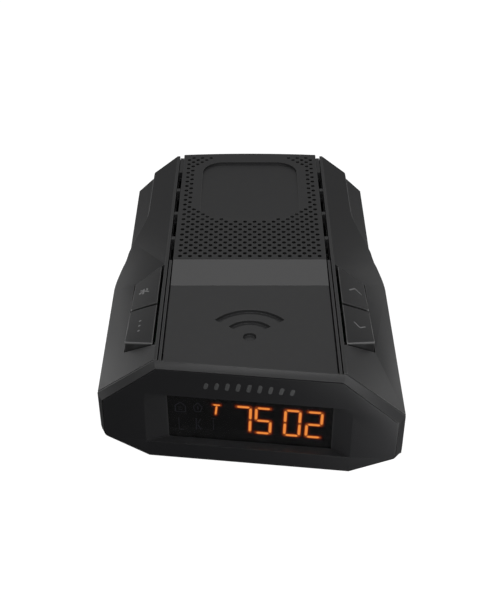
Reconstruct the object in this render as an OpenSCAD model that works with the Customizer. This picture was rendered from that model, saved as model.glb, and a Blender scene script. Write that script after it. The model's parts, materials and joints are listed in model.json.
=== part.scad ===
// Dashboard radar detector: two-shell housing, turned display bezel, perforated top
// cover, four side keys, horn antenna, loudspeaker and their boards.
// X is to the user's right, -Y faces the user, +Z is up, and the feet stand on z = 0.

/* [Housing] */
// Height of the flat top above the surface the feet stand on
top_z = 29; // [28.6:0.1:29.6]
// Half width of the body across its front shoulders
shoulder_half = 35.7; // [35.4:0.1:36]
// Half width of the body at its waist
waist_half = 33.2; // [32.8:0.1:33.4]
// Half width of the body at the rear
rear_half = 33.7; // [33.4:0.1:34]
// Half width of the body where it meets the bezel
front_half = 35.1; // [34.9:0.1:35.3]
// Wall thickness of the two shells
wall = 2; // [1.8:0.1:2.2]
// Gap that shows between neighbouring covers
seam = 0.16; // [0.1:0.02:0.2]

/* [Display] */
// Angle in degrees that the display is turned towards the driver
face_turn = 6.6; // [5:0.2:8]
// Angle in degrees that the display leans back
face_lean = 3.6; // [3:0.2:5]
// Height of a display digit
digit_h = 8.3; // [7.9:0.1:8.6]
// Thickness of a lit stroke
stroke_w = 0.66; // [0.6:0.02:0.8]

/* [Keys] */
// How far a key travels down
key_travel = 0.5; // [0.3:0.1:0.5]
// Height of a key's outer front corner above the wing
key_lift = 2.6; // [2:0.1:2.8]

/* [Grille] */
// Diameter of a hole in the grille
hole_d = 1.2; // [0.9:0.05:1.25]
// Distance between holes along a row
hole_pitch = 2.56; // [2.5:0.02:2.6]

/* [Power socket] */
// Radius of the socket's bore
jack_r = 1.8; // [1.7:0.05:1.9]
// Depth of the socket's bore
jack_depth = 11; // [10:0.5:12]

/* [Hidden] */
$fn = 48;
big = 200;

// Heights
base_z = 0.8;          // underside of the lower shell, on its feet
shoulder_z = 18.3;     // where the sloping wing meets the upright side
chine_z = 6.3;         // where the upright side meets the lower bevel
corner_r = 2.6;        // rounding of that corner
parting_z = 11.8;      // seam between the two shells
board_z = 7.6;         // underside of the main board
board_t = 1.2;
board_top = board_z + board_t;

// Lengths
housing_rear = 51.2;   // rear wall of the shells
cover_rear = 52.8;     // crown of the grille's rear edge
crown_r = 239;         // radius of that edge in plan
parting_y = -46.5;     // seam with the bezel, on the centre line
flare_rear = 14;       // the side widens forward from here
flare_front = -2;
band_rear = -3.75;     // the sloping accent strip
band_front = -14.8;

// Half widths
top_half = 21.5;       // edge of the flat top
sole_half = 23.8;      // edge of the flat underside
cover_half = 19.55;    // covers down the middle
groove_half = 20.75;   // outer side of the vent groove
crease_half = 28.8;    // outer edge of the wing at the rear

wing_slope = (top_z - shoulder_z) / (front_half - top_half);
chine_slope = (chine_z - base_z) / (front_half - sole_half);
wing_stretch = sqrt(1 + wing_slope * wing_slope);
chine_stretch = sqrt(1 + chine_slope * chine_slope);

shell_grey = [0.17, 0.17, 0.175];
cover_grey = [0.15, 0.15, 0.155];
band_grey = [0.26, 0.26, 0.265];
bezel_black = [0.07, 0.07, 0.075];
board_green = [0.05, 0.25, 0.12];
amber = [1, 0.45, 0.12];

// ---------- shared shapes ----------

// Smooth step from 0 to 1 as t goes from 0 to 1
function ease(t) = let (u = min(max(t, 0), 1)) u * u * (3 - 2 * u);

// Half width of the body in plan at y
function side_x(y) =
    y >= flare_rear
        ? waist_half + (rear_half - waist_half) * (y - flare_rear) / (housing_rear - flare_rear)
        : y >= flare_front
            ? waist_half + (shoulder_half - waist_half) * ease((flare_rear - y) / (flare_rear - flare_front))
            : shoulder_half + (front_half - shoulder_half) * (flare_front - y) / (flare_front - parting_y);

// Outer edge of the wing at y, where it runs inside the body's own side
function crease_x(y) = crease_half + (waist_half + 0.6 - crease_half) * ease((29 - y) / 20);

// Seam with the bezel at x
function front_y(x) = parting_y - tan(face_turn) * x;

// Top of the wing at distance x from the centre
function wing_z(x) = top_z - wing_slope * (x - top_half);

side_ys = concat([housing_rear], [for (i = [0 : 12]) flare_rear - i * (flare_rear - flare_front) / 12]);

// Body outline in plan, drawn in by inset, with its front edge moved by reach
function plan(inset, reach) = let (
    right = [for (y = side_ys) [side_x(y) - inset, min(y, housing_rear - inset)]],
    left = [for (i = [len(right) - 1 : -1 : 0]) [-right[i][0], right[i][1]]],
    fx = front_half - inset
) concat(right, [[fx, front_y(fx) + reach], [-fx, front_y(-fx) + reach]], left);

// Arc that rounds the lower corner where the upright side meets the lower bevel
function low_corner(half, low, inset) = let (
    r = max(corner_r - inset, 0.3),
    bend = 90 - atan(chine_slope)
) [for (i = [0 : 4]) let (a = bend * (i / 4 - 1)) [half - r + r * cos(a), low + r * tan(bend / 2) + r * sin(a)]];

// Eight-sided cross-section with rounded lower corners, drawn in by inset
function section(inset, half) = let (
    top = top_half - inset * (wing_stretch - 1) / wing_slope,
    sole = sole_half - inset * (chine_stretch - 1) / chine_slope,
    high = top_z - wing_slope * (half - top_half) - inset * wing_stretch,
    low = base_z + chine_slope * (half - sole_half) + inset * chine_stretch,
    arc = low_corner(half, low, inset),
    right = concat([[sole, base_z + inset]], arc, [[half, high], [top, top_z - inset]])
) concat(right, [for (i = [len(right) - 1 : -1 : 0]) [-right[i][0], right[i][1]]]);

// Prism along Y from y0 to y1 with an outline in X and Z
module along_y(points, y0, y1) {
    translate([0, y1, 0]) rotate([90, 0, 0]) linear_extrude(y1 - y0) polygon(points);
}

module envelope(inset = 0, reach = 0) {
    intersection() {
        linear_extrude(top_z + 1) polygon(plan(inset, reach));
        along_y(section(inset, shoulder_half + 0.5), -70, 70);
    }
}

// Box from its lowest corner to its highest
module block(low, high) {
    translate(low) cube(high - low);
}

// The same thing on both sides of the centre
module both_sides() {
    children();
    mirror([1, 0, 0]) children();
}

// Plan region inside the wing's outer edge, moved out by grow
module wing_region(grow, z0, z1) {
    ys = [for (i = [0 : 8]) 29 - i * 2.5];
    right = concat([[crease_half + grow, 60]], [for (y = ys) [crease_x(y) + grow, y]], [[40, 8.9], [40, -60]]);
    left = [for (i = [len(right) - 1 : -1 : 0]) [-right[i][0], right[i][1]]];
    translate([0, 0, z0]) linear_extrude(z1 - z0) polygon(concat(right, left));
}

// Local frame of the turned display: x along the face, y = 0 on the seam, -y to the user
module face_frame() {
    translate([0, parting_y, 0]) rotate([0, 0, -face_turn]) children();
}

// ---------- fixings ----------

screw_spots = [[19, -36], [-19, -36], [22.6, 46], [-22.6, 46]];
board_screw_spots = [[24, -27], [-24, -27], [24, 8], [-24, 8]];
foot_spots = [[17.6, -27.4], [-17.6, -27.4], [15.6, 42], [-15.6, 42]];
boss_r = 2.4;
screw_r = 1.1;
head_r = 2.1;

// ---------- shells ----------

key_pocket = [[21.55, -38.6], [29.6, -33.8], [29.6, -6.3], [21.55, -5.95]];
slot_ys = [-4.7, 6.6, 19.1, 31.7, 43.3];   // ends and ribs of the four vents
rib_w = 1.3;
ledge_z = [25.2, 26.2];
lens_half = 14;
lens_z = [18, 22.8];

module vent_slots(low, high) {
    for (i = [0 : 3])
        block([19.75, slot_ys[i] + rib_w / 2, low], [20.6, slot_ys[i + 1] - rib_w / 2, high]);
}

module upper_housing() {
    color(shell_grey) difference() {
        union() {
            difference() {
                intersection() {
                    envelope();
                    wing_region(0, parting_z + seam / 2, top_z + 1);
                }
                intersection() {
                    envelope(wall, -8);
                    wing_region(-wall, 0, top_z);
                }
                block([-groove_half, -60, ledge_z[1]], [groove_half, 60, top_z + 1]);
            }
            both_sides() block([17, front_y(-17) + 4.5, ledge_z[0]], [22.6, housing_rear, ledge_z[1]]);
            intersection() {
                for (s = screw_spots)
                    translate([s[0], s[1], parting_z + seam / 2]) cylinder(r = boss_r, h = ledge_z[0] + 0.5 - parting_z);
                envelope(wall / 2, 0);
            }
            intersection() {
                both_sides() for (s = key_posts)
                    translate([s[0], s[1], key_board_top + 0.02]) cylinder(r = 1.6, h = 8);
                envelope(wall / 2, 0);
            }
        }
        both_sides() {
            translate([0, 0, 10]) linear_extrude(30) polygon(key_pocket);
            vent_slots(20, 30);
            for (s = key_posts) translate([s[0], s[1], 10]) cylinder(r = 0.75, h = 9.3);
        }
        block([-lens_half - 0.1, 46, lens_z[0] - 0.1], [lens_half + 0.1, 60, lens_z[1] + 0.1]);
        for (s = screw_spots)
            translate([s[0], s[1], 5]) cylinder(r = screw_r + 0.05, h = 14);
        jack_clearance();
        port_clearance();
    }
}

flank_top = 21.2;      // top of the flank's slope at the wing's edge
flank_slope = 0.96;

module flank_zone(inset) {
    x0 = 29.3;
    z0 = flank_top - inset * 1.4;
    points = [[0, 0], [40, 0], [40, z0 - flank_slope * (40 - x0)], [x0, z0], [0, z0]];
    along_y(points, -60, 60);
    mirror([1, 0, 0]) along_y(points, -60, 60);
}

module flanks() {
    difference() {
        intersection() {
            envelope();
            flank_zone(0);
            block([-40, 9, parting_z - 1], [40, 60, 30]);
        }
        wing_region(seam, 0, 40);
        difference() {
            intersection() {
                envelope(wall * 0.8, 0);
                flank_zone(wall * 0.8);
            }
            wing_region(seam + 1.4, -1, 41);
        }
    }
}

module lower_housing() {
    color(shell_grey) difference() {
        union() {
            difference() {
                intersection() {
                    envelope();
                    block([-50, -60, 0], [50, 60, parting_z - seam / 2]);
                }
                envelope(wall, -8);
            }
            flanks();
            for (s = screw_spots)
                translate([s[0], s[1], base_z + wall / 2])
                    cylinder(r = boss_r + 0.4, h = parting_z - base_z - (wall + seam) / 2);
            for (s = board_screw_spots)
                translate([s[0], s[1], base_z + wall / 2]) cylinder(r = 2, h = board_z - base_z - wall / 2);
        }
        for (s = screw_spots) {
            translate([s[0], s[1], -1]) cylinder(r = screw_r + 0.15, h = 20);
            translate([s[0], s[1], -1]) cylinder(r = head_r + 0.25, h = 4.2);
        }
        for (s = board_screw_spots)
            translate([s[0], s[1], board_z - 4]) cylinder(r = 0.85, h = 5);
        for (s = foot_spots)
            translate([s[0], s[1], -1]) cylinder(r = 4.1, h = 1 + base_z + 0.7);
        block([-21.1, -21.1, 0], [21.1, 9.1, base_z + 0.25]);
        for (i = [-4 : 4])
            block([i * 3 - 0.6, 20, 0], [i * 3 + 0.6, 32, 5]);
        jack_clearance();
        port_clearance();
    }
}

// ---------- display end ----------

face_front = -2.35;    // the bezel's face at mid height, in the local frame
bevel = 1.35;
bezel_gap = 0.14;      // shadow gap between the bezel and the shells
recess_floor = -0.2;
face_half = front_half / cos(face_turn);

module bezel_outline(inset) {
    polygon(section(inset, face_half - inset));
}

module bezel_slice(inset, thick) {
    rotate([90, 0, 0]) linear_extrude(thick) bezel_outline(inset);
}

// Slab parallel to the leaning face, so that its front lies on the face
module leaning(y) {
    translate([0, y, 15]) rotate([-face_lean, 0, 0]) translate([0, 0, -15]) children();
}

module face_box(x0, x1, z0, z1, thick) {
    translate([x0, 0, z0]) cube([x1 - x0, thick, z1 - z0]);
}

module front_bezel() {
    color(bezel_black) face_frame() difference() {
        union() {
            hull() {
                translate([0, -bezel_gap, 0]) bezel_slice(0, 0.3);
                leaning(face_front + 0.1) bezel_slice(bevel, 0.1);
            }
            difference() {
                translate([0, 3.6, 0]) bezel_slice(wall + 0.25, 3.8);
                translate([0, 4, 0]) bezel_slice(wall + 1.5, 5);
            }
            translate([0, -0.2, 0]) face_box(-22.5, 22.5, 3.6, 23.6, 2.3);
        }
        hull() {
            leaning(face_front) translate([0, -0.7, 0]) face_box(-25.2, 24.6, 6.5, 20.85, 0.1);
            translate([0, recess_floor, 0]) face_box(-18.95, 18.95, 6.1, 18.9, 0.05);
        }
        translate([0, recess_floor, 0]) face_box(-20.1, 20.1, 5.3, 20.4, 4);
        leaning(face_front + 0.3) difference() {
            bezel_slice(bevel, 2);
            translate([0, 1, 0]) bezel_slice(bevel + 0.28, 4);
        }
    }
}

module display_window() {
    color([0.02, 0.02, 0.03], 0.6) face_frame()
        translate([0, recess_floor + 0.02, 0]) face_box(-20, 20, 5.4, 20.3, 0.7);
}

module display_panel() {
    color([0.01, 0.01, 0.01]) face_frame()
        translate([0, recess_floor + 0.84, 0]) face_box(-19.2, 19.2, 5.6, 20.1, 1.2);
}

module display_board() {
    color(board_green) face_frame()
        translate([0, 2.12, 0]) face_box(-20.5, 20.5, 5.2, 22.8, 1.2);
}

// One stroke with pointed ends, centred, along X, in the X-Z plane
module stroke(length) {
    w = stroke_w / 2;
    h = length / 2;
    rotate([90, 0, 0]) linear_extrude(0.08)
        polygon([[-h, 0], [-h + w, w], [h - w, w], [h, 0], [h - w, -w], [-h + w, -w]]);
}

// Seven-segment digit: strokes a to g as [x, z, upright] in half-digit units
segment_spots = [[0, 2, 0], [1, 1, 1], [1, -1, 1], [0, -2, 0], [-1, -1, 1], [-1, 1, 1], [0, 0, 0]];
digit_w = 3.38;

module digit(strokes) {
    half_w = digit_w / 2;
    quarter_h = (digit_h - stroke_w) / 4;
    slant = 0.02;
    for (i = strokes) {
        s = segment_spots[i];
        z = s[1] * quarter_h;
        translate([s[0] * half_w + z * slant, 0, z])
            rotate([0, s[2] ? 90 + atan(slant) : 0, 0])
                stroke((s[2] ? 2 * quarter_h : digit_w) - 0.4);
    }
}

digit_z = 12.7;
digits = [[-1.6, [0, 1, 2]], [3.1, [0, 5, 6, 2, 3]], [9.85, [0, 1, 2, 3, 4, 5]], [14.87, [0, 1, 6, 4, 3]]];

module display_digits() {
    color(amber) face_frame() translate([0, recess_floor + 0.83, 0]) {
        for (d = digits) translate([d[0], 0, digit_z]) digit(d[1]);
        translate([-7.7, 0, 16.5]) stroke(1.7);
        translate([-7.75, 0, 14.85]) rotate([0, 90, 0]) stroke(2.4);
    }
}

module display_ribbon() {
    color([0.75, 0.5, 0.15]) face_frame() {
        block([-7, 3.34, 10.4], [7, 3.5, 14]);
        block([-7, 3.34, 10.24], [7, 18.5, 10.4]);
        block([-7, 18.34, board_top + 0.02], [7, 18.5, 10.24]);
    }
}

// ---------- covers down the middle ----------

cover_bottom = 27.4;
band_drop = 0.5;       // the front cover lies this much lower than the grille

// A dot and two arcs, as on a signal sign
module signal_sign() {
    translate([0, -35.2]) circle(r = 1.5);
    for (r = [5.4, 9.6])
        translate([0, -35.2]) intersection() {
            difference() {
                circle(r = r + 0.85);
                circle(r = r - 0.85);
            }
            polygon([[0, 0], [-12, 9.5], [-12, 20], [12, 20], [12, 9.5]]);
        }
}

module front_cover() {
    color(cover_grey) difference() {
        translate([0, 0, cover_bottom - 0.55]) linear_extrude(top_z - band_drop - cover_bottom + 0.55)
            polygon([
                [-cover_half, front_y(-cover_half) + seam], [cover_half, front_y(cover_half) + seam],
                [cover_half, band_front - seam / 2], [-cover_half, band_front - seam / 2]
            ]);
        translate([0, 0, top_z - band_drop - 0.8]) linear_extrude(2) signal_sign();
    }
}

module accent_strip() {
    color(band_grey) rotate([90, 0, 90]) translate([0, 0, -cover_half]) linear_extrude(2 * cover_half)
        polygon([
            [band_front + seam / 2, cover_bottom - 0.55], [band_rear - seam / 2, cover_bottom - 0.55],
            [band_rear - seam / 2, top_z - 0.02], [band_front + seam / 2, top_z - band_drop]
        ]);
}

pad_half = 13.6;
pad_rear = 47.5;
pad_front = 17;
pad_depth = 0.75;
pad_angle = atan(pad_depth / (pad_rear - pad_front));
pad_corner = 6;
plain_half = 16;       // the plain field round the pad, with no holes
plain_front = 15.5;
plain_rear = 52;
plain_corner = 11;

// Half width of the plain field at a distance d into one of its rounded ends
function rounded_x(d) = plain_half - plain_corner + sqrt(pow(plain_corner, 2) - pow(d, 2));

// Half width of the plain field at y
function plain_x(y) =
    y < plain_front || y > plain_rear ? -1
    : y < plain_front + plain_corner ? rounded_x(plain_front + plain_corner - y)
    : y > plain_rear - plain_corner ? rounded_x(y - plain_rear + plain_corner)
    : plain_half;

module grille_holes() {
    for (j = [0 : 41]) {
        y = -2.4 + j * hole_pitch / 2;
        shift = (j % 2) * hole_pitch / 2;
        for (i = [-8 : 7]) {
            x = i * hole_pitch + shift;
            if (abs(x) < cover_half - 1.2 && abs(x) > plain_x(y) && y < cover_rear - 1.8)
                translate([x, y]) circle(d = hole_d, $fn = 8);
        }
    }
}

module pad_cut() {
    translate([0, pad_rear, top_z - pad_depth]) rotate([-pad_angle, 0, 0]) mirror([0, 1, 0])
        linear_extrude(6) {
            translate([-pad_half, pad_corner]) square([2 * pad_half, 32]);
            translate([-pad_half + pad_corner, 0]) square([2 * (pad_half - pad_corner), pad_corner + 1]);
            for (s = [-1, 1]) translate([s * (pad_half - pad_corner), pad_corner]) circle(r = pad_corner);
        }
}

// Plan of the rear cover behind y, with its crowned rear edge
module cover_plan(y) {
    intersection() {
        translate([-cover_half, y]) square([2 * cover_half, cover_rear - y]);
        translate([0, cover_rear - crown_r]) circle(r = crown_r);
    }
}

module speaker_grille() {
    color(cover_grey) difference() {
        union() {
            translate([0, 0, cover_bottom]) linear_extrude(top_z - cover_bottom) difference() {
                cover_plan(band_rear + seam / 2);
                grille_holes();
            }
            block([-15, 17.5, 26.4], [15, 49.5, cover_bottom + 0.2]);
            translate([0, 0, ledge_z[1] - 1.2]) linear_extrude(cover_bottom + 1.4 - ledge_z[1]) cover_plan(housing_rear + seam);
            for (x = [-12.2, 12.2], y = [23, 40])
                translate([x, y, gps_z]) cylinder(r = 1.1, h = cover_bottom - gps_z);
        }
        pad_cut();
    }
}

rail_inner = 19.84;    // sides of the narrow rail beside the front cover
rail_outer = 20.46;

// Rail with its four vent slots; seam_y is where it meets the bezel
module vent_rail(seam_y) {
    low = ledge_z[1] + 0.02;
    color(shell_grey) difference() {
        union() {
            block([18.4, seam_y + 5, low], [20.65, housing_rear - 1.7, cover_bottom - 0.6]);
            block([rail_inner, seam_y + 5, low], [rail_outer, slot_ys[0] + rib_w / 2, top_z - 0.12]);
            block([rail_inner, seam_y + seam, cover_bottom - 0.55], [rail_outer, slot_ys[0] + rib_w / 2, top_z - 0.12]);
            for (i = [1 : 3])
                block([19.7, slot_ys[i] - rib_w / 2, low], [20.65, slot_ys[i] + rib_w / 2, top_z - 0.25]);
            block([19.7, slot_ys[4] - rib_w / 2, low], [20.65, housing_rear, top_z - 0.7]);
        }
        vent_slots(20, 30);
    }
}

module left_vent_rail() {
    mirror([1, 0, 0]) vent_rail(front_y(-19.7));
}

module right_vent_rail() {
    vent_rail(front_y(20.6));
}

// ---------- keys ----------

front_key = [[22.05, -38.15], [29.4, -33.7], [29.4, -19.95], [22.05, -22.6]];
rear_key = [[22.05, -21.75], [29.4, -19.1], [29.4, -6.5], [22.05, -6.15]];
front_tips = [[22.12, -37.8], [29.25, -33.3], [29.25, -20.05], [22.12, -22.65]];
rear_tips = [[22.12, -21.7], [29.25, -19.1], [29.25, -6.6], [22.12, -6.25]];
key_spots = [[25, -28.8], [25, -13.2]];   // stems and switches, front then rear
key_posts = [[30.8, -37.2], [25.6, -2.5]]; // posts that carry the key boards
stem_end = 21.65;

function key_top(x, y) = wing_z(x) + 0.06 + key_lift * (x - 21.9) / 7.5 * min(max((-6.4 - y) / 27, 0), 1);

// Block over four plan points, with its own height at each corner; tips move the top's corners
module wedge(points, tops, bottoms, tips) {
    polyhedron(
        points = concat(
            [for (i = [0 : 3]) [points[i][0], points[i][1], bottoms[i]]],
            [for (i = [0 : 3]) [tips[i][0], tips[i][1], tops[i]]]
        ),
        faces = [
            [0, 1, 2], [0, 2, 3], [6, 5, 4], [7, 6, 4],
            [0, 4, 5], [0, 5, 1], [1, 5, 6], [1, 6, 2], [2, 6, 7], [2, 7, 3], [3, 7, 4], [3, 4, 0]
        ]
    );
}

module key_cap(points, tips, spot) {
    under = wall * wing_stretch;
    wedge(points, [for (p = points) wing_z(p[0]) + 0.05], [for (p = points) wing_z(p[0]) - under - 0.7], points);
    wedge(points, [for (p = tips) key_top(p[0], p[1])], [for (p = points) wing_z(p[0]) - 0.1], tips);
    lip = [points[0] + [0, 0.1], points[1] + [0.8, 0.1], points[2] + [0.8, -0.1], points[3] + [0, -0.1]];
    wedge(lip, [for (p = lip) wing_z(p[0]) - under - 0.15], [for (p = lip) wing_z(p[0]) - under - 0.95], lip);
    translate([spot[0], spot[1], stem_end]) cylinder(r = 1.3, h = wing_z(spot[0]) - under - 0.3 - stem_end);
}

module mute_key() { color(shell_grey) mirror([1, 0, 0]) key_cap(rear_key, rear_tips, key_spots[1]); }
module menu_key() { color(shell_grey) mirror([1, 0, 0]) key_cap(front_key, front_tips, key_spots[0]); }
module up_key() { color(shell_grey) key_cap(rear_key, rear_tips, key_spots[1]); }
module down_key() { color(shell_grey) key_cap(front_key, front_tips, key_spots[0]); }

key_board_top = 17.3;
switch_h = 2.9;

module plunger(spot) {
    color([0.1, 0.1, 0.1]) translate([spot[0], spot[1], key_board_top + 1.85])
        cylinder(r = 1.1, h = stem_end - 0.01 - key_board_top - 1.85);
}

module switch_body(spot) {
    color([0.6, 0.6, 0.62]) translate([spot[0], spot[1], key_board_top + 0.01]) difference() {
        block([-2.1, -2.1, 0], [2.1, 2.1, switch_h]);
        translate([0, 0, 1.2]) cylinder(r = 1.2, h = 5);
    }
}

module mute_plunger() { mirror([1, 0, 0]) plunger(key_spots[1]); }
module menu_plunger() { mirror([1, 0, 0]) plunger(key_spots[0]); }
module up_plunger() { plunger(key_spots[1]); }
module down_plunger() { plunger(key_spots[0]); }
module mute_switch() { mirror([1, 0, 0]) switch_body(key_spots[1]); }
module menu_switch() { mirror([1, 0, 0]) switch_body(key_spots[0]); }
module up_switch() { switch_body(key_spots[1]); }
module down_switch() { switch_body(key_spots[0]); }

// Small board under the keys, screwed up against two posts of the upper shell
module key_board() {
    color(board_green) difference() {
        block([22.6, -38.8, key_board_top - board_t], [32.7, -0.4, key_board_top]);
        for (s = key_posts) translate([s[0], s[1], 10]) cylinder(r = 0.95, h = 10);
    }
}

module left_key_board() { mirror([1, 0, 0]) key_board(); }
module right_key_board() { key_board(); }

// Pan-head screw: its head sits below or above the origin, its shank runs the other way
module screw(head, head_h, shank, length, up) {
    mirror([0, 0, up ? 0 : 1]) union() {
        difference() {
            translate([0, 0, -head_h]) cylinder(r = head, h = head_h);
            translate([0, 0, -head_h - 0.1]) {
                translate([-head * 0.6, -0.18, 0]) cube([head * 1.2, 0.36, head_h * 0.5 + 0.1]);
                translate([-0.18, -head * 0.6, 0]) cube([0.36, head * 1.2, head_h * 0.5 + 0.1]);
            }
        }
        translate([0, 0, -0.1]) cylinder(r = shank, h = length + 0.1);
    }
}

module key_board_screws() {
    color([0.7, 0.7, 0.72]) both_sides() for (s = key_posts)
        translate([s[0], s[1], key_board_top - board_t - 0.01]) screw(1.4, 0.9, 0.7, 3, true);
}

module key_ribbons() {
    color([0.75, 0.5, 0.15]) both_sides()
        block([26.5, -24.5, board_top + 0.02], [26.65, -17.5, key_board_top - board_t - 0.02]);
}

// ---------- main board ----------

module main_board() {
    color(board_green) difference() {
        translate([0, 0, board_z]) linear_extrude(board_t)
            polygon([[-27.5, -32.5], [27.5, -32.5], [27.5, 38], [19, 42], [19, 48.4], [-19, 48.4], [-19, 42], [-27.5, 38]]);
        for (s = board_screw_spots) translate([s[0], s[1], 0]) cylinder(r = 1, h = 20);
        for (s = screw_spots) translate([s[0], s[1], 0]) cylinder(r = boss_r + 0.8, h = 20);
    }
}

module main_board_screws() {
    color([0.7, 0.7, 0.72]) for (s = board_screw_spots)
        translate([s[0], s[1], board_top + 0.01]) screw(1.7, 1.1, 0.8, 4.6, false);
}

// Chips as [x, y, width, length, height]
chips = [[4, -14, 9, 9, 1.1], [-5.5, -15, 6, 5, 0.9], [14.5, -3, 7, 7, 1], [16.5, 12, 5, 6.5, 1.5], [-19, 28, 4, 5, 1]];

module processor_chips() {
    color([0.03, 0.03, 0.03]) for (c = chips)
        translate([c[0] - c[2] / 2, c[1] - c[3] / 2, board_top + 0.01]) cube([c[2], c[3], c[4]]);
}

module capacitors() {
    color([0.55, 0.57, 0.6]) for (p = [[23, 15], [23, 20.5], [14.5, -23], [20, -18]])
        translate([p[0], p[1], board_top + 0.01]) cylinder(r = 2.1, h = 4.6);
}

cell_x = -16.6;
cell_y = -13;

module backup_cell() {
    color([0.75, 0.76, 0.78]) translate([cell_x, cell_y, board_top + 0.62]) cylinder(r = 6.25, h = 2);
}

module cell_holder() {
    color([0.05, 0.05, 0.05]) translate([cell_x, cell_y, board_top + 0.01]) difference() {
        translate([-7.2, -7.2, 0]) cube([14.4, 14.4, 2.4]);
        translate([0, 0, 0.6]) cylinder(r = 6.3, h = 5);
    }
}

// ---------- radio parts ----------

horn_mouth_y = housing_rear - wall - 0.8;

// Flared horn that opens to the rear, towards the road
module horn_antenna() {
    wall_t = 0.9;
    z = board_top + 0.02;
    color([0.72, 0.73, 0.75]) difference() {
        translate([0, 0, z]) linear_extrude(8.6)
            polygon([[-7, 17], [7, 17], [7, 26], [13.6, horn_mouth_y], [-13.6, horn_mouth_y], [-7, 26]]);
        translate([0, 0, z + wall_t]) linear_extrude(8.6 - 2 * wall_t)
            polygon([[-6.1, 18.5], [6.1, 18.5], [6.1, 26], [12.8, horn_mouth_y + 1], [-12.8, horn_mouth_y + 1], [-6.1, 26]]);
    }
}

module mixer_shield() {
    color([0.78, 0.79, 0.8]) difference() {
        block([-9, -6, board_top + 0.02], [9, 16.9, board_top + 3.8]);
        block([-8.7, -5.7, 0], [8.7, 16.6, board_top + 3.5]);
    }
}

gps_z = 20.4;

module gps_receiver() {
    color(board_green) block([-14, 20.4, gps_z - 1.2], [14, 41.4, gps_z - 0.01]);
}

module gps_antenna() {
    color([0.82, 0.8, 0.74]) union() {
        block([-9.5, 21.6, gps_z], [9.5, 40.6, gps_z + 4]);
        translate([1, 31.9, gps_z]) cylinder(r = 0.8, h = 4.4);
    }
}

// ---------- loudspeaker ----------

speaker_y = 7;
speaker_r = 10;

module speaker_part() {
    translate([0, speaker_y, 0]) rotate_extrude() children();
}

module speaker_frame() {
    color([0.12, 0.12, 0.12]) speaker_part()
        polygon([[6.3, 21.6], [10, 24.6], [10, 26.6], [8.9, 26.6], [8.9, 25.2], [6.3, 23.0]]);
}

module speaker_cone() {
    color([0.05, 0.05, 0.05]) speaker_part()
        polygon([[0, 23.6], [2.6, 23.2], [8.7, 25.9], [8.7, 26.3], [2.6, 23.7], [0, 24.4]]);
}

module speaker_magnet() {
    color([0.6, 0.6, 0.62]) translate([0, speaker_y, 18.6]) cylinder(r = 6.2, h = 4.4);
}

module speaker_gasket() {
    color([0.04, 0.04, 0.04]) speaker_part() translate([8.6, 26.62]) square([1.4, cover_bottom - 26.64]);
}

// ---------- rear window ----------

module rear_lens() {
    color([0.25, 0.02, 0.03], 0.8) union() {
        block([-lens_half, housing_rear - 2, lens_z[0]], [lens_half, housing_rear - 0.15, lens_z[1]]);
        block([-lens_half - 0.9, housing_rear - wall - 0.8, lens_z[0] - 0.6], [lens_half + 0.9, housing_rear - wall - 0.02, lens_z[1] + 0.6]);
    }
}

laser_y = 42.2;        // front of the laser sensor's board

module laser_board() {
    color(board_green) block([-12, laser_y, 17.9], [12, laser_y + 1.2, 24.6]);
}

module laser_sensor() {
    color([0.03, 0.03, 0.03]) union() {
        block([-3.6, laser_y + 1.22, 18.3], [3.6, laser_y + 4, 22.4]);
        translate([0, laser_y + 3.9, 20.4]) rotate([-90, 0, 0]) cylinder(r = 1.7, h = 1.5);
    }
}

// ---------- sockets ----------

jack_y = 30;
port_y = 28;
jack_face = 33.1;

module jack_clearance() {
    translate([20, jack_y, parting_z]) rotate([0, 90, 0]) cylinder(r = 3.1, h = 20);
}

module port_clearance() {
    block([-40, port_y - 4.1, parting_z - 2.1], [-24, port_y + 4.1, parting_z + 2.1]);
}

module power_socket() {
    color([0.05, 0.05, 0.05]) translate([0, jack_y, parting_z]) difference() {
        union() {
            translate([24, 0, 0]) rotate([0, 90, 0]) cylinder(r = 3, h = jack_face - 24);
            block([18.5, -3.4, board_top + 0.01 - parting_z], [26.4, 3.4, 3.2]);
        }
        translate([jack_face - jack_depth, 0, 0]) rotate([0, 90, 0]) cylinder(r = jack_r, h = jack_depth + 1);
    }
}

module data_port() {
    color([0.7, 0.7, 0.72]) translate([0, port_y, parting_z]) difference() {
        union() {
            block([-jack_face, -4, -2], [-24, 4, 2]);
            block([-25, -4, board_top + 0.01 - parting_z], [-21.5, 4, 2]);
        }
        block([-jack_face - 1, -3.5, -1.5], [-25.5, 3.5, 1.5]);
    }
    color([0.05, 0.05, 0.05]) translate([0, port_y, parting_z])
        block([-jack_face + 1.2, -2.3, -0.35], [-25.4, 2.3, 0.35]);
}

// ---------- underside ----------

module housing_screws() {
    color([0.15, 0.15, 0.16]) for (s = screw_spots)
        translate([s[0], s[1], 3.19]) screw(head_r, 1.4, screw_r, 14.5, true);
}

module rubber_feet() {
    color([0.03, 0.03, 0.03]) for (s = foot_spots)
        translate([s[0], s[1], 0]) cylinder(r = 4, h = base_z + 0.68);
}

module rating_plate() {
    color([0.6, 0.6, 0.6]) block([-21, -21, base_z + 0.05], [21, 9, base_z + 0.24]);
}

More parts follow.
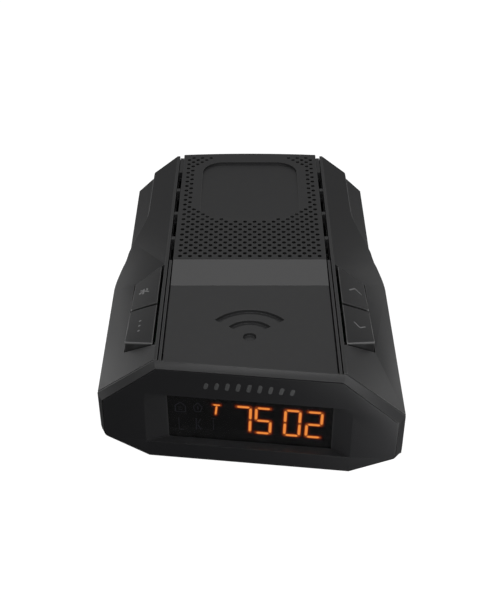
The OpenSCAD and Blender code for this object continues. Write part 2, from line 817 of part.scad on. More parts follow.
upper_housing();
lower_housing();
front_bezel();
display_window();
display_panel();
display_digits();
display_board();
display_ribbon();
front_cover();
accent_strip();
speaker_grille();
left_vent_rail();
right_vent_rail();
mute_key();
menu_key();
up_key();
down_key();
mute_plunger();
menu_plunger();
up_plunger();
down_plunger();
mute_switch();
menu_switch();
up_switch();
down_switch();
left_key_board();
right_key_board();
key_board_screws();
key_ribbons();
main_board();
main_board_screws();
processor_chips();
capacitors();
backup_cell();
cell_holder();
horn_antenna();
mixer_shield();
gps_antenna();
gps_receiver();
speaker_frame();
speaker_cone();
speaker_magnet();
speaker_gasket();
rear_lens();
laser_sensor();
laser_board();
power_socket();
data_port();
housing_screws();
rubber_feet();
rating_plate();
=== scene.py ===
import json
import math

import bmesh
import bpy
import numpy as np
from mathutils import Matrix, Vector


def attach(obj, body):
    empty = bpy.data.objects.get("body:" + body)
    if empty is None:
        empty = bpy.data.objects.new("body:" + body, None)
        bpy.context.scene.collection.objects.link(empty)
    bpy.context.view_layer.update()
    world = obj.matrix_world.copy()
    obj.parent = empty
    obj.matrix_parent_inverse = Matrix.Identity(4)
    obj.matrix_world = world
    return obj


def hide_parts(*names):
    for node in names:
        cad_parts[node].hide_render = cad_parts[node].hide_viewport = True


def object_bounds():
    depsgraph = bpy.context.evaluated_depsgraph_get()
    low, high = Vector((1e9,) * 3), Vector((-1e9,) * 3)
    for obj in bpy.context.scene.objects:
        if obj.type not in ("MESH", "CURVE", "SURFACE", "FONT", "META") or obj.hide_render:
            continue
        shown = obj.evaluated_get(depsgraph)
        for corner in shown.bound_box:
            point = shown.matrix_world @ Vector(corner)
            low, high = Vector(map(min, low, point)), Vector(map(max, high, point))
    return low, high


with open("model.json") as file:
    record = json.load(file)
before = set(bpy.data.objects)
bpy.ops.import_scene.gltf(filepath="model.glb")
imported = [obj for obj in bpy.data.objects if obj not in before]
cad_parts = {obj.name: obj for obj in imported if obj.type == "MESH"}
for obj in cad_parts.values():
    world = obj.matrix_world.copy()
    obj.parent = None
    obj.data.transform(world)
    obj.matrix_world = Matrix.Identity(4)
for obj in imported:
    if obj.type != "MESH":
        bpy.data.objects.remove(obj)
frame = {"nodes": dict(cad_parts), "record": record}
nodes = frame["nodes"]
scene = bpy.context.scene
cadBox = [list(corner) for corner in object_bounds()]
mm = 0.001
mainBody = "detector"


print("frame loaded:", len(nodes), "parts")


# shader helpers

def addNode(tree, kind, **values):
    node = tree.nodes.new(kind)
    for name, value in values.items():  # a property if the node has it, otherwise an input socket
        if hasattr(node, name):
            setattr(node, name, value)
        else:
            node.inputs[name.replace("_", " ")].default_value = value
    return node


def newGroup(name, inputs, outputs):
    group = bpy.data.node_groups.new(name, "ShaderNodeTree")
    for label, kind, value in inputs:
        socket = group.interface.new_socket(label, in_out="INPUT", socket_type=kind)
        socket.default_value = value
    for label, kind in outputs:
        group.interface.new_socket(label, in_out="OUTPUT", socket_type=kind)
    return group, group.nodes.new("NodeGroupInput"), group.nodes.new("NodeGroupOutput")


def mixColour(tree, factor, first, second):
    node = addNode(tree, "ShaderNodeMix", data_type="RGBA")
    for socket, value in ((node.inputs[0], factor), (node.inputs[6], first), (node.inputs[7], second)):
        if isinstance(value, bpy.types.NodeSocket):
            tree.links.new(value, socket)
        else:
            socket.default_value = value
    return node.outputs[2]


def maths(tree, operation, first, second=0.0, third=0.0, clamp=False):
    node = addNode(tree, "ShaderNodeMath", operation=operation, use_clamp=clamp)
    for socket, value in zip(node.inputs, (first, second, third)):
        if isinstance(value, bpy.types.NodeSocket):
            tree.links.new(value, socket)
        else:
            socket.default_value = value
    return node.outputs[0]


floatSocket, colourSocket, vectorSocket = "NodeSocketFloat", "NodeSocketColor", "NodeSocketVector"


def buildMouldGrain():
    # colour, roughness and normal of a spark-eroded moulding: fine noise for the grain, broad for the flow
    group, given, result = newGroup(
        "mouldGrain",
        [("Color", colourSocket, (0.03, 0.03, 0.03, 1)), ("Shade", floatSocket, 0.12),
         ("Grain Scale", floatSocket, 7000.0), ("Grain Depth", floatSocket, 0.00001),
         ("Roughness", floatSocket, 0.5), ("Spread", floatSocket, 0.12)],
        [("Color", colourSocket), ("Roughness", floatSocket), ("Normal", vectorSocket)])
    place = addNode(group, "ShaderNodeTexCoord").outputs["Object"]
    fine = addNode(group, "ShaderNodeTexNoise", Detail=3.0, Roughness=0.6)
    broad = addNode(group, "ShaderNodeTexNoise", Scale=55.0, Detail=2.0)
    group.links.new(place, fine.inputs["Vector"])
    group.links.new(place, broad.inputs["Vector"])
    group.links.new(given.outputs["Grain Scale"], fine.inputs["Scale"])
    fineShare = maths(group, "MULTIPLY", fine.outputs[0], 0.55)
    broadShare = maths(group, "MULTIPLY", broad.outputs[0], 0.45)
    swing = maths(group, "SUBTRACT", maths(group, "ADD", fineShare, broadShare), 0.5)
    depth = maths(group, "MULTIPLY", given.outputs["Shade"], 4.0)
    gain = maths(group, "ADD", maths(group, "MULTIPLY", swing, depth), 1.0)
    shade = addNode(group, "ShaderNodeVectorMath", operation="SCALE")
    group.links.new(given.outputs["Color"], shade.inputs[0])
    group.links.new(gain, shade.inputs["Scale"])
    group.links.new(shade.outputs[0], result.inputs["Color"])
    rough = maths(group, "MULTIPLY", swing, maths(group, "MULTIPLY", given.outputs["Spread"], 2.0))
    roughness = maths(group, "ADD", rough, given.outputs["Roughness"], clamp=True)
    group.links.new(roughness, result.inputs["Roughness"])
    bump = addNode(group, "ShaderNodeBump", Strength=1.0)
    group.links.new(fine.outputs[0], bump.inputs["Height"])
    group.links.new(given.outputs["Grain Depth"], bump.inputs["Distance"])
    group.links.new(bump.outputs[0], result.inputs["Normal"])
    return group


def buildEdgeRubAndHighlight():
    # a lighter colour on edges, partly wear and partly a painted highlight: how far a rounded normal turns
    # away from the true one
    group, given, result = newGroup(
        "edgeRub",
        [("Color", colourSocket, (0.03, 0.03, 0.03, 1)), ("Rubbed", colourSocket, (0.08, 0.08, 0.08, 1)),
         ("Amount", floatSocket, 0.5)],
        [("Color", colourSocket)])
    rounded = addNode(group, "ShaderNodeBevel", samples=4, Radius=0.0003)
    geometry = addNode(group, "ShaderNodeNewGeometry")
    turn = addNode(group, "ShaderNodeVectorMath", operation="DOT_PRODUCT")
    group.links.new(rounded.outputs[0], turn.inputs[0])
    group.links.new(geometry.outputs["Normal"], turn.inputs[1])
    mask = maths(group, "MULTIPLY", maths(group, "SUBTRACT", 1.0, turn.outputs["Value"]), 9.0, clamp=True)
    patches = addNode(group, "ShaderNodeTexNoise", Scale=900.0, Detail=2.0)
    group.links.new(addNode(group, "ShaderNodeTexCoord").outputs["Object"], patches.inputs["Vector"])
    uneven = maths(group, "MULTIPLY", mask, maths(group, "ADD", patches.outputs[0], 0.25, clamp=True))
    amount = maths(group, "MULTIPLY", uneven, given.outputs["Amount"], clamp=True)
    rubbedAndLit = mixColour(group, amount, given.outputs["Color"], given.outputs["Rubbed"])
    group.links.new(rubbedAndLit, result.inputs["Color"])
    return group


dustColour = (0.6, 0.58, 0.54, 1)


def buildDust():
    # a thin pale film on faces that look up, broken by noise
    group, given, result = newGroup(
        "restingDust",
        [("Color", colourSocket, (0.03, 0.03, 0.03, 1)), ("Amount", floatSocket, 0.03)],
        [("Color", colourSocket)])
    upward = addNode(group, "ShaderNodeSeparateXYZ")
    group.links.new(addNode(group, "ShaderNodeNewGeometry").outputs["Normal"], upward.inputs[0])
    specks = addNode(group, "ShaderNodeTexNoise", Scale=420.0, Detail=5.0, Roughness=0.7)
    group.links.new(addNode(group, "ShaderNodeTexCoord").outputs["Object"], specks.inputs["Vector"])
    patches = maths(group, "SUBTRACT", specks.outputs[0], 0.42, clamp=True)
    film = maths(group, "MULTIPLY", patches, maths(group, "MAXIMUM", upward.outputs["Z"], 0.0))
    amount = maths(group, "MULTIPLY", film, given.outputs["Amount"], clamp=True)
    group.links.new(mixColour(group, amount, given.outputs["Color"], dustColour), result.inputs["Color"])
    return group


grainGroup, rubAndHighlightGroup, dustGroup = buildMouldGrain(), buildEdgeRubAndHighlight(), buildDust()


def newMaterial(name):
    material = bpy.data.materials.new(name)
    material.use_nodes = True
    tree = material.node_tree
    return material, tree, tree.nodes["Principled BSDF"]


def placeGroup(tree, group, **values):
    node = addNode(tree, "ShaderNodeGroup", node_tree=group)
    for name, value in values.items():
        node.inputs[name.replace("_", " ")].default_value = value
    return node


plainFinish = {"roughness": 0.5, "shade": 0.025, "spread": 0.05, "grainScale": 7000.0, "grainDepth": 0.000006,
               "rubAmount": 0.5, "dust": 0.012, "specular": 0.5, "metallic": 0.0, "under": None}


def grey(shade, blue=0.0):
    return (shade, shade, round(shade + blue, 4))


def mouldedPlastic(name, colour, rubbedAndLit, **changes):
    # a second, darker colour shows where a piece's skin-and-shade attribute falls to 0: painted shade in the
    # gaps round the keys and inside the grille holes, the darker flat face on the bezel; the pale edge
    # colour, a painted highlight, shows where its "rim" attribute rises to 1
    finish = {**plainFinish, **changes}
    material, tree, shader = newMaterial(name)
    grain = placeGroup(tree, grainGroup, Color=(*colour, 1), Shade=finish["shade"], Spread=finish["spread"],
                       Grain_Scale=finish["grainScale"], Grain_Depth=finish["grainDepth"],
                       Roughness=finish["roughness"])
    if finish["under"]:
        skin = addNode(tree, "ShaderNodeAttribute", attribute_name="skin", attribute_type="GEOMETRY")
        rim = addNode(tree, "ShaderNodeAttribute", attribute_name="rim", attribute_type="GEOMETRY")
        twoTone = mixColour(tree, skin.outputs["Fac"], (*finish["under"], 1), (*colour, 1))
        tree.links.new(mixColour(tree, rim.outputs["Fac"], twoTone, (*rubbedAndLit, 1)), grain.inputs["Color"])
    rubAndHighlight = placeGroup(tree, rubAndHighlightGroup, Rubbed=(*rubbedAndLit, 1), Amount=finish["rubAmount"])
    film = placeGroup(tree, dustGroup, Amount=finish["dust"])
    tree.links.new(grain.outputs["Color"], rubAndHighlight.inputs["Color"])
    tree.links.new(rubAndHighlight.outputs["Color"], film.inputs["Color"])
    tree.links.new(film.outputs["Color"], shader.inputs["Base Color"])
    tree.links.new(grain.outputs["Roughness"], shader.inputs["Roughness"])
    tree.links.new(grain.outputs["Normal"], shader.inputs["Normal"])
    shader.inputs["Specular IOR Level"].default_value = finish["specular"]
    shader.inputs["Metallic"].default_value = finish["metallic"]
    return material


def brushedMetal(name, colour, roughness, stretch):
    # long thin noise for the brushing, over an even metal; stretch is the noise's scale along x, y and z
    material, tree, shader = newMaterial(name)
    mapping = addNode(tree, "ShaderNodeMapping", Scale=stretch)
    tree.links.new(addNode(tree, "ShaderNodeTexCoord").outputs["Object"], mapping.inputs["Vector"])
    lines = addNode(tree, "ShaderNodeTexNoise", Scale=1.0, Detail=3.0)
    tree.links.new(mapping.outputs[0], lines.inputs["Vector"])
    dark, light = [tuple(c * k for c in colour) + (1,) for k in (0.8, 1.1)]
    tree.links.new(mixColour(tree, lines.outputs[0], dark, light), shader.inputs["Base Color"])
    uneven = maths(tree, "MULTIPLY_ADD", lines.outputs[0], 0.25, roughness - 0.12)
    tree.links.new(uneven, shader.inputs["Roughness"])
    shader.inputs["Metallic"].default_value = 1.0
    return material


outerFinishes = {  # outside: name, colour, colour of its edges, rubbed and with a painted highlight, and what differs from the plain finish
    # the two shells' edges take the pale edge colour in full: partly wear, partly painted highlight lines
    "shell": ("charcoalShell", grey(0.022, 0.001), grey(0.1), {"roughness": 0.47, "rubAmount": 1.0}),
    "lowerShell": ("lowerCharcoal", grey(0.042, 0.001), grey(0.1), {"roughness": 0.45, "rubAmount": 1.0}),
    "cover": ("blackFrontCover", grey(0.024, 0.001), grey(0.05), {"roughness": 0.48}),
    # the grille's second colour is painted shade inside its holes
    "grille": ("blackGrille", grey(0.018, 0.001), grey(0.06),
               {"roughness": 0.48, "rubAmount": 1.0, "under": grey(0.0015)}),
    # the chamfer along the wing crease: a pale colour that is a painted highlight
    "litEdge": ("polishedEdge", grey(0.19, 0.002), grey(0.2), {"roughness": 0.38}),
    "strip": ("satinStrip", grey(0.072, 0.001), grey(0.11), {"roughness": 0.4, "grainDepth": 0.000004}),
    "bezel": ("bezelBlack", grey(0.021, 0.001), grey(0.05),
              {"roughness": 0.42, "grainDepth": 0.000004, "rubAmount": 0.4, "under": grey(0.009, 0.001)}),
    # the keys' second colour is painted shade on their walls in the gaps, and their pale edge colour a
    # painted highlight
    "key": ("softKey", grey(0.022, 0.001), grey(0.26),
            {"roughness": 0.52, "rubAmount": 1.0, "under": grey(0.002)}),
    "rubber": ("footRubber", grey(0.014), grey(0.05),
               {"roughness": 0.8, "grainScale": 5000.0, "grainDepth": 0.00002}),
}
innerFinishes = {  # the same for what is inside or underneath, where no dust lies
    "black_part": ("innerBlack", grey(0.015), grey(0.04), {"roughness": 0.55}),
    "socket": ("socketBlack", grey(0.014), grey(0.05), {"roughness": 0.35}),
    "board": ("boardGreen", (0.01, 0.09, 0.035), (0.05, 0.2, 0.1), {"roughness": 0.3, "grainScale": 2500.0}),
    "ribbon": ("amberFilm", (0.42, 0.2, 0.03), (0.5, 0.3, 0.08), {"roughness": 0.3, "grainScale": 1500.0}),
    "ceramic": ("antennaCeramic", (0.55, 0.5, 0.38), (0.65, 0.6, 0.5),
                {"roughness": 0.6, "grainScale": 9000.0}),
    "cone": ("paperCone", grey(0.02), grey(0.04),
             {"roughness": 0.85, "grainScale": 2500.0, "grainDepth": 0.00004}),
    "foam": ("closedFoam", grey(0.018), grey(0.03),
             {"roughness": 0.9, "grainScale": 3500.0, "grainDepth": 0.00005}),
    "label": ("plainFoil", grey(0.36, 0.01), grey(0.5),
              {"roughness": 0.35, "grainScale": 3000.0, "metallic": 0.6}),
    "dark_screw": ("blackOxide", grey(0.03, 0.002), grey(0.3, 0.01),
                   {"roughness": 0.4, "metallic": 0.8, "rubAmount": 0.9}),
}
metals = {  # name, colour, roughness, scale of the brushing along x, y and z
    "tin": ("tinnedSteel", (0.62, 0.62, 0.63), 0.32, (400, 6000, 6000)),
    "screw": ("zincScrew", (0.64, 0.65, 0.66), 0.3, (5000, 5000, 800)),
    "aluminium_can": ("drawnCan", (0.72, 0.73, 0.75), 0.3, (5000, 5000, 500)),
    "zinc": ("castHorn", (0.6, 0.61, 0.63), 0.45, (2500, 2500, 2500)),
}
looks = {}
for slotName, (*values, changes) in outerFinishes.items():
    looks[slotName] = mouldedPlastic(*values, **changes)
for slotName, (*values, changes) in innerFinishes.items():
    looks[slotName] = mouldedPlastic(*values, dust=0.0, **changes)
for slotName, values in metals.items():
    looks[slotName] = brushedMetal(*values)
print("finishes built:", len(looks))


# clear finishes

def clearPane(name, tint, roughness, smear, specular=0.5):
    # a see-through pane whose roughness wanders up by as much as smear
    material, tree, shader = newMaterial(name)
    polish = addNode(tree, "ShaderNodeTexNoise", Scale=300.0, Detail=3.0)
    tree.links.new(addNode(tree, "ShaderNodeTexCoord").outputs["Object"], polish.inputs["Vector"])
    uneven = maths(tree, "MULTIPLY_ADD", polish.outputs[0], smear, roughness)
    tree.links.new(uneven, shader.inputs["Roughness"])
    shader.inputs["Base Color"].default_value = (*tint, 1)
    shader.inputs["Transmission Weight"].default_value = 1.0
    shader.inputs["IOR"].default_value = 1.49
    shader.inputs["Specular IOR Level"].default_value = specular
    return material


looks["window"] = clearPane("smokedWindow", (0.45, 0.45, 0.47), 0.02, 0.05, specular=0.12)
looks["rear_window"] = clearPane("redWindow", (0.22, 0.005, 0.008), 0.05, 0.06)

slotOf = {row["node"]: row["material_slot"] for row in frame["record"]["subparts"]}
for nodeName, part in nodes.items():  # every carried-over part gets its finish
    if slotOf[nodeName] in looks:
        part.data.materials.clear()
        part.data.materials.append(looks[slotOf[nodeName]])


def finishPiece(piece, look, body, slotName, *replaced):
    piece.data.materials.clear()
    piece.data.materials.append(look)
    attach(piece, body)
    if replaced:
        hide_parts(*replaced)
    return piece


# the display end in millimetres and degrees; depths run away from the user, from the parting plane's middle
displayEnd = {"partingY": -46.5, "turn": 6.6, "lean": 3.6, "faceDepth": -2.35, "midHeight": 15.0,
              "strokeDepth": 0.60, "unlitDepth": 0.63, "panelDepth": 0.645}
turnAngle, leanAngle = math.radians(displayEnd["turn"]), math.radians(displayEnd["lean"])


# crisp mouldings: the shells, covers and rails, with small true radii on their edges

def faceTable(mesh):
    # normal and centre of every face, centres in millimetres
    count = len(mesh.polygons)
    normals, centres = np.empty(count * 3), np.empty(count * 3)
    mesh.polygons.foreach_get("normal", normals)
    mesh.polygons.foreach_get("center", centres)
    return normals.reshape(-1, 3), centres.reshape(-1, 3) / mm


grilleZones = {"sideX": 19.4, "rearY": 50.5, "frontY": -3.6, "padX": 14, "padFrontY": 16}
bezelZones = {"insideX": 25.5, "low": 5, "high": 21.5, "inwardSkin": 0.35}


def grilleHoleShade(mesh):
    # 1 on the top, the pad and the outer sides, 0 inside the holes and below, where the grille takes painted
    # shade
    normals, centres = faceTable(mesh)
    x, y = np.abs(centres[:, 0]), centres[:, 1]
    outside = (x > grilleZones["sideX"]) | (y > grilleZones["rearY"]) | (y < grilleZones["frontY"])
    pad = (x < grilleZones["padX"]) & (y > grilleZones["padFrontY"])
    return np.where((normals[:, 2] > 0.5) | outside | pad, 1.0, 0.0).astype(np.float32)


def bezelSkin(mesh):
    # 1 on the outer slopes, 0 on the flat face, part way on the slopes that run in to the window
    normals, centres = faceTable(mesh)
    ahead = np.array([-math.sin(turnAngle) * math.cos(leanAngle), -math.cos(turnAngle) * math.cos(leanAngle),
                      math.sin(leanAngle)])
    flat = normals @ ahead > 0.995
    x, z = np.abs(centres[:, 0]), centres[:, 2]
    inward = (x < bezelZones["insideX"]) & (z > bezelZones["low"]) & (z < bezelZones["high"])
    return np.where(flat, 0.0, np.where(inward, bezelZones["inwardSkin"], 1.0)).astype(np.float32)


wingCrease = {"node": "upper_housing", "look": "litEdge",
              "width": 0.0005, "fromY": 0.0085, "fromZ": 0.0175}  # metres


def chamferCrease(work):
    # a narrow chamfer where the wing's slope drops to the flank behind the keys, given a pale finish as a
    # painted highlight
    crease = []
    for edge in work.edges:
        if len(edge.link_faces) != 2:
            continue
        slope, wall = sorted((face.normal for face in edge.link_faces), key=lambda normal: -normal.z)
        middle = (edge.verts[0].co + edge.verts[1].co) / 2
        behind = middle.y > wingCrease["fromY"] and middle.z > wingCrease["fromZ"]
        sloping = slope.z > 0.4 and abs(slope.x) > 0.4
        if behind and sloping and abs(wall.z) < 0.2 and wall.x * middle.x > 0:
            crease.append(edge)
    bmesh.ops.bevel(work, geom=crease, offset=wingCrease["width"], offset_type="WIDTH", affect="EDGES",
                    segments=1, profile=0.5, clamp_overlap=False, material=1)


skinAndShadeMasks = {"front_bezel": bezelSkin, "speaker_grille": grilleHoleShade}
softEdge = {"steps": 2, "sharpFrom": math.radians(24.0), "flatWithin": math.radians(0.4),
            "mergeWithin": 0.000002}
mouldings = {  # radius of the edges in metres, and the finish if it isn't the one of the slot
    "upper_housing": (0.00013, None), "lower_housing": (0.00022, "lowerShell"),
    "front_bezel": (0.00008, None), "front_cover": (0.00010, None), "accent_strip": (0.00006, None),
    "left_vent_rail": (0.00007, None), "right_vent_rail": (0.00007, None), "speaker_grille": (0.0, "grille"),
    "power_socket": (0.00012, None), "data_port": (0.00008, None), "rubber_feet": (0.0003, None)}


def roundedMesh(nodeName, pieceName):
    # the node's triangles merged into flat faces, smooth across gentle edges only; the bezel keeps its
    # triangles, because its flat face has a hole in it and doesn't survive as one polygon
    mesh = nodes[nodeName].data.copy()
    mesh.name = pieceName
    work = bmesh.new()
    work.from_mesh(mesh)
    bmesh.ops.remove_doubles(work, verts=work.verts, dist=softEdge["mergeWithin"])
    if nodeName != "front_bezel":
        bmesh.ops.dissolve_limit(work, angle_limit=softEdge["flatWithin"], verts=work.verts, edges=work.edges)
    if nodeName == wingCrease["node"]:
        chamferCrease(work)
    for edge in work.edges:
        edge.smooth = edge.calc_face_angle(0.0) < softEdge["sharpFrom"]
    for face in work.faces:
        face.smooth = True
    work.to_mesh(mesh)
    work.free()
    return mesh


def roundedCopy(nodeName, pieceName, radius, ownLook):
    slotName = slotOf[nodeName]
    mesh = roundedMesh(nodeName, pieceName)
    if nodeName in skinAndShadeMasks:
        mesh.attributes.new("skin", "FLOAT", "FACE").data.foreach_set("value", skinAndShadeMasks[nodeName](mesh))
    piece = bpy.data.objects.new(pieceName, mesh)
    scene.collection.objects.link(piece)
    if radius:
        bevel = piece.modifiers.new("edgeRadius", "BEVEL")
        bevel.width = radius
        bevel.segments = softEdge["steps"]
        bevel.limit_method = "ANGLE"
        bevel.angle_limit = softEdge["sharpFrom"]
        bevel.harden_normals = True
        bevel.use_clamp_overlap = True
        bevel.miter_outer = "MITER_ARC"
    chamfered = np.zeros(len(mesh.polygons), np.int32)
    mesh.polygons.foreach_get("material_index", chamfered)
    finishPiece(piece, looks[ownLook or slotName], mainBody, slotName, nodeName)
    if nodeName == wingCrease["node"]:
        mesh.materials.append(looks[wingCrease["look"]])
        mesh.polygons.foreach_set("material_index", chamfered)


for nodeName, (radius, ownLook) in mouldings.items():
    words = nodeName.split("_")
    roundedCopy(nodeName, words[0] + "".join(word.title() for word in words[1:]), radius, ownLook)
print("mouldings rounded")


# surfaces worked out on grids

def tubeShell(rings, firstPole, lastPole):
    # closed shell: rings (along, round, xyz) joined by quads, with a pole at each end; faces look outwards
    count, around = rings.shape[:2]
    points = np.vstack([rings.reshape(-1, 3), firstPole, lastPole])
    ahead = (np.arange(around) + 1) % around
    start = (np.arange(count - 1) * around)[:, None]
    quads = np.stack([start + np.arange(around), start + ahead, start + ahead + around,
                      start + np.arange(around) + around], axis=-1).reshape(-1, 4)
    first, last, tail = count * around, count * around + 1, (count - 1) * around
    caps = [(first, b, a) for a, b in zip(range(around), ahead)]
    caps += [(last, tail + a, tail + b) for a, b in zip(range(around), ahead)]
    a, b, c, d = (points[quads[:, k]] for k in range(4))
    turned = (np.einsum("ij,ij->i", a, np.cross(b, c)) + np.einsum("ij,ij->i", a, np.cross(c, d))).sum() < 0
    faces = [tuple(int(v) for v in q) for q in quads] + [tuple(int(v) for v in t) for t in caps]
    return points, [f[::-1] for f in faces] if turned else faces


def newPiece(name, shells, look, body, slotName, replaced=(), **shares):
    # one mesh from several shells, given in millimetres; shares are values on its points, by attribute name
    points, faces = [], []
    for shellPoints, shellFaces in shells:
        start = sum(len(p) for p in points)
        points.append(shellPoints)
        faces += [tuple(v + start for v in face) for face in shellFaces]
    mesh = bpy.data.meshes.new(name)
    mesh.from_pydata((np.vstack(points) * mm).tolist(), [], faces)
    mesh.shade_smooth()
    for label, values in shares.items():
        mesh.attributes.new(label, "FLOAT", "POINT").data.foreach_set("value", values.astype(np.float32))
    piece = bpy.data.objects.new(name, mesh)
    scene.collection.objects.link(piece)
    return finishPiece(piece, look, body, slotName, *replaced)


strokeShape = {"step": 0.08, "leastSteps": 6, "around": 12, "squareness": 0.6}


def alongLine(corners):
    # points along a line through the corners, an even step apart
    corners = np.array(corners, float)
    lengths = np.concatenate([[0], np.cumsum(np.linalg.norm(np.diff(corners, axis=0), axis=1))])
    count = max(int(lengths[-1] / strokeShape["step"]), strokeShape["leastSteps"])
    places = np.linspace(0, lengths[-1], count)
    return np.stack([np.interp(places, lengths, corners[:, k]) for k in range(2)], axis=-1)


def stroke(corners, halfWidth, height, place, pointed=False):
    # P(s, a) = line(s) + w(s) cos a across the line + h(s) sin a off the surface; w and h close at both ends
    line = alongLine(corners)
    along = np.gradient(line, axis=0)
    along /= np.linalg.norm(along, axis=1)[:, None]
    across = np.stack([-along[:, 1], along[:, 0]], axis=-1)
    travelled = np.concatenate([[0], np.cumsum(np.linalg.norm(np.diff(line, axis=0), axis=1))])
    fromEnd = np.clip(np.minimum(travelled, travelled[-1] - travelled) / halfWidth, 0, 1)
    taper = fromEnd if pointed else np.sqrt(1 - (1 - fromEnd) ** 2)
    angle = np.linspace(0, 2 * np.pi, strokeShape["around"], endpoint=False)
    side = np.sign(np.cos(angle)) * np.abs(np.cos(angle)) ** strokeShape["squareness"]
    lift = np.sign(np.sin(angle)) * np.abs(np.sin(angle)) ** strokeShape["squareness"]
    flat = line[:, None, :] + across[:, None, :] * (halfWidth * taper[:, None] * side)[..., None]
    rise = height * np.sqrt(taper)[:, None] * lift
    rings = place(flat[..., 0], flat[..., 1], rise)[1:-1]
    ends = place(line[[0, -1], 0], line[[0, -1], 1], np.zeros(2))
    return tubeShell(rings, ends[0], ends[1])


# display end: lit strokes, panel, unlit marks and a plain mark on the bezel

def displayPlace(depthOffset, leaning=False):
    # place on a plane of the turned display: x along the face, z up, rise towards the user
    def place(x, z, rise):
        depth = depthOffset - rise
        if leaning:
            depth = depth + (z - displayEnd["midHeight"]) * math.tan(leanAngle)
        return np.stack([x * math.cos(turnAngle) + depth * math.sin(turnAngle),
                         displayEnd["partingY"] - x * math.sin(turnAngle) + depth * math.cos(turnAngle),
                         z + 0 * x], axis=-1)
    return place


litDigits = {"height": 8.3, "width": 3.38, "stroke": 0.66, "slant": 0.03, "midZ": 12.7, "fine": 0.46,
             "endGap": 0.21, "thickness": 0.03, "edgeLoss": 0.30,
             "shown": ((-1.6, "abc"), (3.1, "afgcd"), (9.85, "abcdef"), (14.87, "abged")),
             "corner": ((-8.5, 16.5, -6.85, 16.5), (-7.68, 16.2, -7.98, 13.55))}
segmentPlaces = {  # steps across and up from the digit's middle, and whether the stroke is upright
    "a": (0, 2, 0), "b": (1, 1, 1), "c": (1, -1, 1), "d": (0, -2, 0),
    "e": (-1, -1, 1), "f": (-1, 1, 1), "g": (0, 0, 0)}


def digitLines():
    # ends of every lit stroke as rows of x, z, x, z
    lines = list(litDigits["corner"])
    quarter = (litDigits["height"] - litDigits["stroke"]) / 4
    for centre, letters in litDigits["shown"]:
        for letter in letters:
            across, up, upright = segmentPlaces[letter]
            z = litDigits["midZ"] + up * quarter
            x = centre + across * litDigits["width"] / 2 + (z - litDigits["midZ"]) * litDigits["slant"]
            reach = (2 * quarter if upright else litDigits["width"]) / 2 - litDigits["endGap"]
            dx, dz = (reach * litDigits["slant"], reach) if upright else (reach, 0)
            lines.append((x - dx, z - dz, x + dx, z + dz))
    return np.array(lines)


strokeLines = digitLines()
strokeHalves = np.full(len(strokeLines), litDigits["stroke"] / 2)
strokeHalves[:len(litDigits["corner"])] = litDigits["fine"] / 2
strokePlace = displayPlace(displayEnd["strokeDepth"])
strokeShells = [stroke(((x0, z0), (x1, z1)), half, litDigits["thickness"], strokePlace, pointed=True)
                for (x0, z0, x1, z1), half in zip(strokeLines, strokeHalves)]


def lineDistance(x, z, lines, halves=0.0):
    # distance from each point of a grid to the nearest of the lines, less the line's half width
    start, run = lines[:, :2], lines[:, 2:] - lines[:, :2]
    offset = np.stack([x, z], axis=-1)[..., None, :] - start
    reach = np.clip((offset * run).sum(-1) / (run ** 2).sum(-1), 0, 1)
    return (np.linalg.norm(offset - reach[..., None] * run, axis=-1) - halves).min(-1)


panelShape = {"low": (-19.2, 5.6), "high": (19.2, 20.1), "step": 0.16, "thickness": 1.19,
              "haloPeak": 0.42, "haloReach": 0.34}


def panelShell():
    # a fine grid in front, its rim carried back to a plain rear face
    # the halo is peak * exp(-(distance to a stroke / reach) ^ 2)
    (left, low), (right, high), step = panelShape["low"], panelShape["high"], panelShape["step"]
    x, z = np.meshgrid(np.arange(left, right + step / 2, step), np.arange(low, high + step / 2, step))
    rows, columns = x.shape
    front = displayPlace(displayEnd["panelDepth"])(x, z, np.zeros_like(x)).reshape(-1, 3)
    rim = np.concatenate([np.arange(columns), np.arange(1, rows) * columns + columns - 1,
                          (rows - 1) * columns + np.arange(columns - 2, -1, -1),
                          np.arange(rows - 2, 0, -1) * columns])
    rearPlace = displayPlace(displayEnd["panelDepth"] + panelShape["thickness"])
    back = rearPlace(x.ravel()[rim], z.ravel()[rim], np.zeros(len(rim)))
    corner = (np.arange(rows - 1)[:, None] * columns + np.arange(columns - 1)).ravel()
    faces = [(int(a), int(a + 1), int(a + 1 + columns), int(a + columns)) for a in corner]
    start = rows * columns
    ahead = np.roll(np.arange(len(rim)), -1)
    faces += [(int(rim[k]), int(start + k), int(start + ahead[k]), int(rim[ahead[k]]))
              for k in range(len(rim))]
    faces.append(tuple(range(start + len(rim) - 1, start - 1, -1)))
    away = np.maximum(lineDistance(x, z, strokeLines, strokeHalves), 0).ravel()
    halo = panelShape["haloPeak"] * np.exp(-(away / panelShape["haloReach"]) ** 2)
    return (np.vstack([front, back]), faces), np.concatenate([halo, np.zeros(len(rim))])


glowStops = ((0.0, (0.0, 0.0, 0.0)), (0.3, (0.06, 0.004, 0.0)),
             (0.62, (0.62, 0.10, 0.008)), (1.0, (0.95, 0.31, 0.055)))


